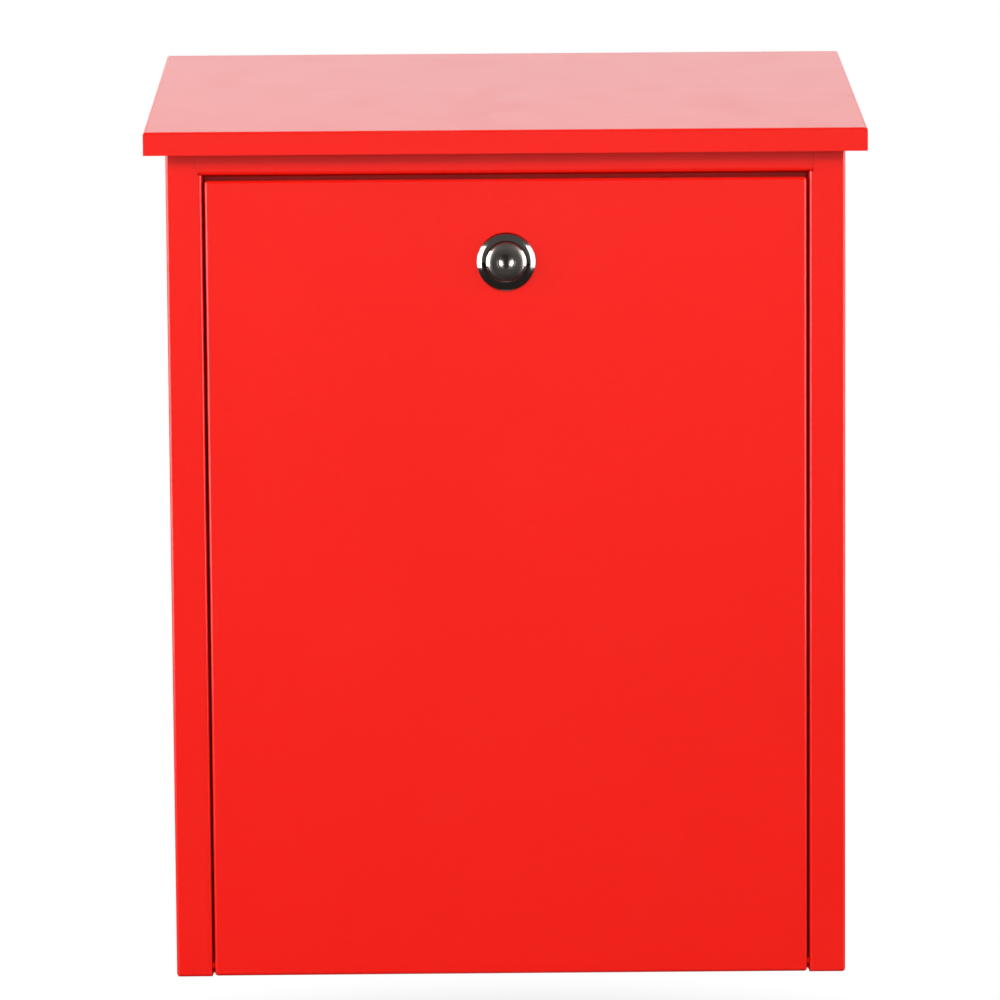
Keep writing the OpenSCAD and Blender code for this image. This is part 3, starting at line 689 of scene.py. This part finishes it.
# %% [markdown]
# ## Pieces grown by rules
# Some pieces follow a rule, so Geometry Nodes grow them: a hinge leaf is a strip rolled round its pin
# and repeated along the hinge, a row of spot welds is one small mark repeated along a line, the
# barrel's thread is a ridge on a helix, and a weld bead is a rod whose thickness wanders. Each tree is
# run once by a helper that sets its named inputs and keeps the result as a plain mesh.

# %% Geometry Nodes helpers
def rule_tree(name, inputs):
    """Empty Geometry Nodes tree with named inputs. Returns tree, input and output node."""
    tree = bpy.data.node_groups.new(name, "GeometryNodeTree")
    for socket, kind in inputs.items():
        tree.interface.new_socket(socket, in_out="INPUT", socket_type="NodeSocket" + kind)
    tree.interface.new_socket("Geometry", in_out="OUTPUT", socket_type="NodeSocketGeometry")
    return tree, tree.nodes.new("NodeGroupInput"), tree.nodes.new("NodeGroupOutput")


def joined(tree, *parts):
    """Joins several geometry sockets."""
    node = add(tree, "GeometryNodeJoinGeometry")
    for part in reversed(parts):
        link(tree, part, node.inputs[0])
    return node.outputs[0]


def vector_of(tree, x=0.0, y=0.0, z=0.0):
    """Vector from sockets or numbers."""
    node = add(tree, "ShaderNodeCombineXYZ")
    for slot, value in zip(node.inputs, (x, y, z)):
        if isinstance(value, bpy.types.NodeSocket):
            link(tree, value, slot)
        else:
            slot.default_value = value
    return node.outputs[0]


def circle(tree, sides, radius):
    """Circle curve with a number of points and a radius from a socket or number."""
    node = add(tree, "GeometryNodeCurvePrimitiveCircle", Resolution=sides)
    if isinstance(radius, bpy.types.NodeSocket):
        link(tree, radius, node.inputs["Radius"])
    else:
        node.inputs["Radius"].default_value = radius
    return node.outputs[0]


def swept(tree, path, section, capped=True):
    """Section run along a path. Returns the node, whose Scale input can still be linked."""
    node = add(tree, "GeometryNodeCurveToMesh", Fill_Caps=capped)
    link(tree, path, node.inputs["Curve"])
    link(tree, section, node.inputs["Profile Curve"])
    return node


def random_number(tree, low, high, seed):
    """Random number between two bounds for each point, from a seed socket."""
    node = add(tree, "FunctionNodeRandomValue", data_type="FLOAT")
    node.inputs[2].default_value = low
    node.inputs[3].default_value = high
    link(tree, seed, node.inputs["Seed"])
    return node.outputs[1]


def end_tree(tree, shape, source, result):
    """Realizes what was instanced and gives it the material input."""
    real = add(tree, "GeometryNodeRealizeInstances")
    link(tree, shape, real.inputs[0])
    paint = add(tree, "GeometryNodeSetMaterial")
    link(tree, real.outputs[0], paint.inputs["Geometry"])
    link(tree, source.outputs["Material"], paint.inputs["Material"])
    link(tree, paint.outputs[0], result.inputs["Geometry"])


def grown_mesh(tree, slot_name, **values):
    """Runs a tree once with its inputs set, and returns the result as a mesh."""
    holder = bpy.data.objects.new("holder", bpy.data.meshes.new("holder"))
    scene.collection.objects.link(holder)
    modifier = holder.modifiers.new("grow", "NODES")
    modifier.node_group = tree
    identifiers = {item.name: item.identifier for item in tree.interface.items_tree if item.in_out == "INPUT"}
    for key, value in {**values, "Material": finish[slot_name]}.items():
        modifier[identifiers[key.replace("_", " ")]] = value
    bpy.context.view_layer.update()
    mesh = bpy.data.meshes.new_from_object(holder.evaluated_get(bpy.context.evaluated_depsgraph_get()))
    bpy.data.objects.remove(holder)
    return mesh


def place_meshes(name, placed, body, slot_name):
    """Joins meshes, each moved by its own matrix, into one piece with its normals turned outward."""
    shape = bmesh.new()
    for mesh, matrix in placed:
        before = len(shape.verts)
        shape.from_mesh(mesh)
        shape.verts.ensure_lookup_table()
        bmesh.ops.transform(shape, matrix=matrix, verts=shape.verts[before:])
    bmesh.ops.recalc_face_normals(shape, faces=shape.faces)
    for face in shape.faces:
        face.smooth = True
    for edge in shape.edges:
        edge.smooth = len(edge.link_faces) == 2 and edge.calc_face_angle(0) < soft_angle
    mesh = bpy.data.meshes.new(name)
    shape.to_mesh(mesh)
    shape.free()
    return keep_piece(name, mesh, body, slot_name)


# %% [markdown]
# ## The rolled hinge
# A butt hinge for a sheet lid is made from two strips. Tongues are left along one edge of each strip
# and are rolled round the pin, so every knuckle is a strip bent into a tube whose end closes against
# the leaf. The centre line of a tongue is straight for a while and then turns about the pin; a
# rounded rectangle, as wide as the tongue, is run along that line and repeated at every second place.
# The two leaves differ only in where their first tongue is.

# %% Roll the hinge leaves
def rolled_leaf_tree():
    """Tongues rolled round the X axis, on a plate that runs along +Y at the top of the knuckles."""
    tree, source, result = rule_tree("rolled_leaf", {
        "Length": "Float", "Tongue": "Float", "Pitch": "Float", "Start": "Float", "Count": "Int",
        "Sheet": "Float", "Roll Radius": "Float", "Straight": "Float", "Leaf Width": "Float",
        "Roll Turn": "Float", "Edge": "Float", "Material": "Material"})
    given = source.outputs
    roll_length = times(tree, given["Roll Radius"], given["Roll Turn"])
    whole = plus(tree, given["Straight"], roll_length)
    line = add(tree, "GeometryNodeCurvePrimitiveLine")
    link(tree, vector_of(tree, 0.0, whole), line.inputs["End"])
    points = add(tree, "GeometryNodeResampleCurve")
    points.inputs["Count"].default_value = 64
    link(tree, line.outputs[0], points.inputs["Curve"])
    along = add(tree, "GeometryNodeInputPosition")
    parts = axes_of(tree, along.outputs[0])
    run = parts["Y"]
    past = math_node(tree, "MAXIMUM", minus(tree, run, given["Straight"]), 0.0)
    angle = math_node(tree, "DIVIDE", past, given["Roll Radius"])
    left = math_node(tree, "MAXIMUM", minus(tree, given["Straight"], run), 0.0)
    sweep_y = times(tree, math_node(tree, "SINE", angle), given["Roll Radius"])
    sweep_z = times(tree, math_node(tree, "COSINE", angle), given["Roll Radius"])
    bend = add(tree, "GeometryNodeSetPosition")
    link(tree, points.outputs[0], bend.inputs["Geometry"])
    bent = vector_of(tree, 0.0, minus(tree, left, sweep_y), sweep_z)
    link(tree, bent, bend.inputs["Position"])
    section = add(tree, "GeometryNodeCurvePrimitiveQuadrilateral")
    link(tree, given["Tongue"], section.inputs["Width"])
    link(tree, given["Sheet"], section.inputs["Height"])
    soft = add(tree, "GeometryNodeFilletCurve", mode="POLY")
    soft.inputs["Count"].default_value = 2
    link(tree, section.outputs[0], soft.inputs["Curve"])
    link(tree, given["Edge"], soft.inputs["Radius"])
    tongue = swept(tree, bend.outputs[0], soft.outputs[0])
    places = add(tree, "GeometryNodeMeshLine")
    link(tree, given["Count"], places.inputs["Count"])
    link(tree, vector_of(tree, given["Start"]), places.inputs["Start Location"])
    link(tree, vector_of(tree, times(tree, given["Pitch"], 2.0)), places.inputs["Offset"])
    repeat = add(tree, "GeometryNodeInstanceOnPoints")
    link(tree, places.outputs[0], repeat.inputs["Points"])
    link(tree, tongue.outputs[0], repeat.inputs["Instance"])
    plate_width = minus(tree, given["Leaf Width"], given["Straight"])
    plate = add(tree, "GeometryNodeMeshCube")
    link(tree, vector_of(tree, given["Length"], plate_width, given["Sheet"]), plate.inputs["Size"])
    centre_y = math_node(tree, "DIVIDE", plus(tree, given["Leaf Width"], given["Straight"]), 2.0)
    set_plate = add(tree, "GeometryNodeTransform")
    link(tree, plate.outputs["Mesh"], set_plate.inputs["Geometry"])
    link(tree, vector_of(tree, 0.0, centre_y, given["Roll Radius"]), set_plate.inputs["Translation"])
    end_tree(tree, joined(tree, repeat.outputs[0], set_plate.outputs[0]), source, result)
    return tree


hinge_axis = joint_at["lid_hinge"]
leaf_low, leaf_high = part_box("hinge_leaf_case")
knuckle_radius = leaf_high.z - hinge_axis.z
leaf_sheet = 1.0 * MM
roll_radius = knuckle_radius - leaf_sheet / 2
leaf_length = leaf_high.x - leaf_low.x
leaf_width = hinge_axis.z - leaf_low.z
knuckle_count = 9
knuckle_gap = 0.4 * MM
knuckle_pitch = leaf_length / knuckle_count
tongue_length = knuckle_pitch - knuckle_gap
tongue_straight = knuckle_radius + 1.3 * MM
tongue_roll = math.radians(318)
sheared_edge = 0.15 * MM
lid_slope = math.radians(14)
on_case = Matrix.Translation(hinge_axis) @ Matrix.Rotation(-math.pi / 2, 4, "X")
on_lid = Matrix.Translation(hinge_axis) @ Matrix.Rotation(lid_slope, 4, "X") @ Matrix.Scale(-1, 4, (0, 1, 0))
leaf_tree = rolled_leaf_tree()
leaves = (("hinge_leaf_case", 0, on_case, "case"), ("hinge_leaf_lid", 1, on_lid, "lid"))
for leaf_name, first, frame_matrix, body in leaves:
    leaf_mesh = grown_mesh(
        leaf_tree, "red_paint", Length=leaf_length, Tongue=tongue_length, Pitch=knuckle_pitch,
        Start=-leaf_length / 2 + (first + 0.5) * knuckle_pitch, Count=(knuckle_count + 1 - first) // 2,
        Sheet=leaf_sheet, Roll_Radius=roll_radius, Straight=tongue_straight, Leaf_Width=leaf_width,
        Roll_Turn=tongue_roll, Edge=sheared_edge)
    leaf = place_meshes(leaf_name + "_rolled", [(leaf_mesh, frame_matrix)], body, "red_paint")
    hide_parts(leaf_name)

# %% [markdown]
# ## Spot welds
# The leaves, the rail's tabs and the back panel's flanges are spot-welded. Two copper electrodes
# squeeze the sheets and leave a shallow ring with a dished middle, and powder coat rounds it over. A
# mark is a flattened torus round a slightly domed disc, repeated from one end of a row to the other.
# Each mark is turned and sized a little differently, from a fixed seed.

# %% Weld the rows
full_turn = 6.283


def weld_row_tree():
    """Row of weld marks that lie on the X-Y plane, from a start point to an end point."""
    tree, source, result = rule_tree("weld_row", {
        "Start": "Vector", "End": "Vector", "Count": "Int", "Radius": "Float", "Height": "Float",
        "Seed": "Int", "Material": "Material"})
    given = source.outputs
    row = add(tree, "GeometryNodeMeshLine", mode="END_POINTS")
    link(tree, given["Count"], row.inputs["Count"])
    link(tree, given["Start"], row.inputs["Start Location"])
    link(tree, given["End"], row.inputs["Offset"])
    ring = swept(tree, circle(tree, 16, given["Radius"]), circle(tree, 5, given["Height"]), capped=False)
    dish = add(tree, "GeometryNodeMeshCone")
    dish.inputs["Vertices"].default_value = 16
    link(tree, given["Radius"], dish.inputs["Radius Bottom"])
    link(tree, times(tree, given["Radius"], 0.6), dish.inputs["Radius Top"])
    link(tree, times(tree, given["Height"], 0.5), dish.inputs["Depth"])
    size = random_number(tree, 0.88, 1.08, given["Seed"])
    turn = random_number(tree, 0.0, full_turn, plus(tree, given["Seed"], 7.0))
    repeat = add(tree, "GeometryNodeInstanceOnPoints")
    link(tree, row.outputs[0], repeat.inputs["Points"])
    link(tree, joined(tree, ring.outputs[0], dish.outputs["Mesh"]), repeat.inputs["Instance"])
    link(tree, vector_of(tree, 0.0, 0.0, turn), repeat.inputs["Rotation"])
    link(tree, size, repeat.inputs["Scale"])
    end_tree(tree, repeat.outputs[0], source, result)
    return tree


def facing(origin, outward, along):
    """Frame whose Z is the outward direction and whose X runs along a row."""
    z = Vector(outward).normalized()
    x = Vector(along).normalized()
    turned = Matrix((x, z.cross(x), z)).transposed().to_4x4()
    return Matrix.Translation(origin) @ turned


weld_tree = weld_row_tree()
weld_radius = 2.3 * MM
weld_height = 0.16 * MM
sheet = 1.0 * MM
panel_low, panel_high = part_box("back_panel")


def weld_row(count, half_length, seed):
    """One row of marks along X, centred on its own frame."""
    return grown_mesh(
        weld_tree, "red_paint", Start=(-half_length, 0, 0), End=(half_length, 0, 0), Count=count,
        Radius=weld_radius, Height=weld_height, Seed=seed)


leaf_row_drop = 12.5 * MM
leaf_face_y = leaf_low.y + knuckle_radius + leaf_sheet * 0.55
leaf_row = (0, leaf_face_y, hinge_axis.z - leaf_row_drop)
flange_x = panel_high.x - sheet
flange_y = -6.5 * MM
tab_x = 141.6 * MM
tab_y = front_y + 2 * sheet
tab_z = 170.2 * MM
tab_weld_half = 3.2 * MM
side_row_z = (panel_high.z + panel_low.z) / 2 - 6 * MM
to_front, to_back, to_right, to_left, upward = (0, -1, 0), (0, 1, 0), (1, 0, 0), (-1, 0, 0), (0, 0, 1)
rows_on_case = [
    (weld_row(10, 126 * MM, 11), facing(leaf_row, to_front, to_right)),
    (weld_row(6, 160 * MM, 12), facing((-flange_x, flange_y, side_row_z), to_right, upward)),
    (weld_row(6, 160 * MM, 13), facing((flange_x, flange_y, side_row_z), to_left, upward)),
    (weld_row(5, 120 * MM, 14), facing((0, flange_y, panel_low.z + sheet), upward, to_right)),
    (weld_row(2, tab_weld_half, 15), facing((-tab_x, tab_y, tab_z), to_back, upward)),
    (weld_row(2, tab_weld_half, 16), facing((tab_x, tab_y, tab_z), to_back, upward)),
]
case_welds = place_meshes("case_spot_welds", rows_on_case, "case", "red_paint")
lid_row = on_lid @ facing((0, leaf_row_drop, roll_radius - leaf_sheet / 2), (0, 0, -1), to_right)
lid_welds = place_meshes("lid_spot_welds", [(weld_row(10, 118 * MM, 17), lid_row)], "lid", "red_paint")
print("weld marks:", len(case_welds.data.polygons), "and", len(lid_welds.data.polygons), "faces")

# %% [markdown]
# ## Thread on the lock's barrel
# The barrel is threaded for its nut and then milled flat on both sides, so the thread only shows on
# the round parts. The ridge follows a helix of one millimetre pitch. Whatever would stand out past a
# flat is pushed back just under it, which cuts the ridge as the milling does.

# %% Cut the thread
def thread_tree():
    """Helical ridge round the Z axis, cut by two flats that face X."""
    tree, source, result = rule_tree("barrel_thread", {
        "Radius": "Float", "Pitch": "Float", "Turns": "Float", "Ridge": "Float", "Flat": "Float",
        "Material": "Material"})
    given = source.outputs
    helix = add(tree, "GeometryNodeCurveSpiral")
    helix.inputs["Resolution"].default_value = 40
    link(tree, given["Turns"], helix.inputs["Rotations"])
    link(tree, given["Radius"], helix.inputs["Start Radius"])
    link(tree, given["Radius"], helix.inputs["End Radius"])
    link(tree, times(tree, given["Turns"], given["Pitch"]), helix.inputs["Height"])
    ridge = swept(tree, helix.outputs[0], circle(tree, 4, given["Ridge"]))
    where = add(tree, "GeometryNodeInputPosition")
    parts = axes_of(tree, where.outputs[0])
    below = math_node(tree, "MINIMUM", parts["X"], given["Flat"])
    lowest = times(tree, given["Flat"], -1.0)
    within = math_node(tree, "MAXIMUM", below, lowest)
    cut = add(tree, "GeometryNodeSetPosition")
    link(tree, ridge.outputs[0], cut.inputs["Geometry"])
    link(tree, vector_of(tree, within, parts["Y"], parts["Z"]), cut.inputs["Position"])
    end_tree(tree, cut.outputs[0], source, result)
    return tree


_, housing_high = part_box("lock_housing")
barrel_radius = 7.9 * MM
barrel_flat = 6.9 * MM
thread_pitch = 1.0 * MM
thread_ridge = 0.3 * MM
thread_sunk = 0.06 * MM
flat_sunk = 0.03 * MM
thread_end = 1.2 * MM
thread_from = front_y + sheet
thread_length = housing_high.y - thread_end - thread_from
thread_start = (lock_x, housing_high.y - thread_end, lock_z)
on_barrel = Matrix.Translation(thread_start) @ Matrix.Rotation(math.pi / 2, 4, "X")
thread_mesh = grown_mesh(
    thread_tree(), "polished_nickel", Radius=barrel_radius - thread_sunk, Pitch=thread_pitch,
    Turns=thread_length / thread_pitch, Ridge=thread_ridge, Flat=barrel_flat - flat_sunk)
thread = place_meshes("barrel_thread", [(thread_mesh, on_barrel)], "door", "polished_nickel")
print("thread:", round(thread_length * 1000, 2), "mm long,", len(thread.data.polygons), "faces")

# %% [markdown]
# ## Wafers in the keyway
# A cam lock is held by thin sprung wafers that stick out into the keyway until the right key draws
# them in. Their ends are what one sees as small steps inside the slot. They lie one behind the other,
# by turns from the top and from the bottom, each out by its own amount.

# %% Set the wafers
def wafer_tree():
    """Stack of plates along Z that stick out into a slot from one side, by random amounts."""
    tree, source, result = rule_tree("wafer_stack", {
        "Count": "Int", "First": "Float", "Pitch": "Float", "Width": "Float", "Length": "Float",
        "Thickness": "Float", "Slot Half": "Float", "Most Out": "Float", "Seed": "Int",
        "Material": "Material"})
    given = source.outputs
    plate = add(tree, "GeometryNodeMeshCube")
    link(tree, vector_of(tree, given["Width"], given["Length"], given["Thickness"]), plate.inputs["Size"])
    places = add(tree, "GeometryNodeMeshLine")
    link(tree, given["Count"], places.inputs["Count"])
    link(tree, vector_of(tree, 0.0, 0.0, given["First"]), places.inputs["Start Location"])
    link(tree, vector_of(tree, 0.0, 0.0, given["Pitch"]), places.inputs["Offset"])
    reach = times(tree, random_number(tree, 0.3, 1.0, given["Seed"]), given["Most Out"])
    half = times(tree, given["Length"], 0.5)
    edge = minus(tree, given["Slot Half"], reach)
    shift = add(tree, "GeometryNodeSetPosition")
    link(tree, places.outputs[0], shift.inputs["Geometry"])
    link(tree, vector_of(tree, 0.0, plus(tree, edge, half), 0.0), shift.inputs["Offset"])
    repeat = add(tree, "GeometryNodeInstanceOnPoints")
    link(tree, shift.outputs[0], repeat.inputs["Points"])
    link(tree, plate.outputs["Mesh"], repeat.inputs["Instance"])
    end_tree(tree, repeat.outputs[0], source, result)
    return tree


plug_low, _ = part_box("lock_plug")
keyway_width = 2.1 * MM
keyway_half = 3.1 * MM
wafer_step = 3.0 * MM
stack = wafer_tree()
first_wafer = (lock_x, plug_low.y + 3.4 * MM, lock_z)
on_keyway = Matrix.Translation(first_wafer) @ Matrix.Rotation(-math.pi / 2, 4, "X")
placed_wafers = []
for turned, seed in ((0.0, 5), (math.pi, 9)):
    mesh = grown_mesh(
        stack, "zinc_steel", Count=3, First=0.0 if turned == 0 else wafer_step / 2, Pitch=wafer_step,
        Width=keyway_width - 0.1 * MM, Length=2.0 * MM, Thickness=0.8 * MM, Slot_Half=keyway_half,
        Most_Out=1.3 * MM, Seed=seed)
    placed_wafers.append((mesh, on_keyway @ Matrix.Rotation(turned, 4, "Z")))
wafers = place_meshes("keyway_wafers", placed_wafers, "lock_core", "zinc_steel")
print("wafers:", len(wafers.data.polygons) // 6)

# %% [markdown]
# ## Weld beads inside the lid's corners
# The lid's lip is folded down on three sides, and the two front corners are closed by a short weld
# inside, so the outside stays clean. A bead is a rod along the corner whose thickness rises and falls
# with each drop of metal.

# %% Run the weld beads
def bead_tree():
    """Bead along Z whose thickness wanders with every drop."""
    tree, source, result = rule_tree("weld_bead", {
        "Length": "Float", "Radius": "Float", "Drop": "Float", "Seed": "Float", "Material": "Material"})
    given = source.outputs
    line = add(tree, "GeometryNodeCurvePrimitiveLine")
    link(tree, vector_of(tree, 0.0, 0.0, given["Length"]), line.inputs["End"])
    points = add(tree, "GeometryNodeResampleCurve")
    points.inputs["Count"].default_value = 48
    link(tree, line.outputs[0], points.inputs["Curve"])
    along = add(tree, "GeometryNodeInputPosition")
    parts = axes_of(tree, along.outputs[0])
    phase = times(tree, math_node(tree, "DIVIDE", parts["Z"], given["Drop"]), math.pi)
    drops = math_node(tree, "ABSOLUTE", math_node(tree, "SINE", phase, 0), 0)
    wander = add(tree, "ShaderNodeTexNoise", noise_dimensions="4D", Scale=600.0)
    link(tree, along.outputs[0], wander.inputs["Vector"])
    link(tree, given["Seed"], wander.inputs["W"])
    swell = plus(tree, times(tree, drops, 0.25), wander.outputs["Fac"])
    thickness = times(tree, plus(tree, swell, 0.35), given["Radius"])
    bead = swept(tree, points.outputs[0], circle(tree, 10, 1.0))
    link(tree, thickness, bead.inputs["Scale"])
    end_tree(tree, bead.outputs[0], source, result)
    return tree


lid_low, lid_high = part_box("lid")
lip_inside_y = lid_low.y + sheet
bead_length = 7.5 * MM
bead_start = 0.8 * MM
bead_rule = bead_tree()
beads = [(grown_mesh(bead_rule, "red_paint", Length=bead_length, Radius=0.75 * MM, Drop=1.4 * MM, Seed=seed),
          Matrix.Translation((x, lip_inside_y, lid_low.z + bead_start)))
         for x, seed in ((lid_low.x + sheet, 3.0), (lid_high.x - sheet, 8.0))]
lid_beads = place_meshes("lid_corner_beads", beads, "lid", "red_paint")
print("beads:", len(lid_beads.data.polygons), "faces, lip inside at y", round(lip_inside_y * 1000, 2))
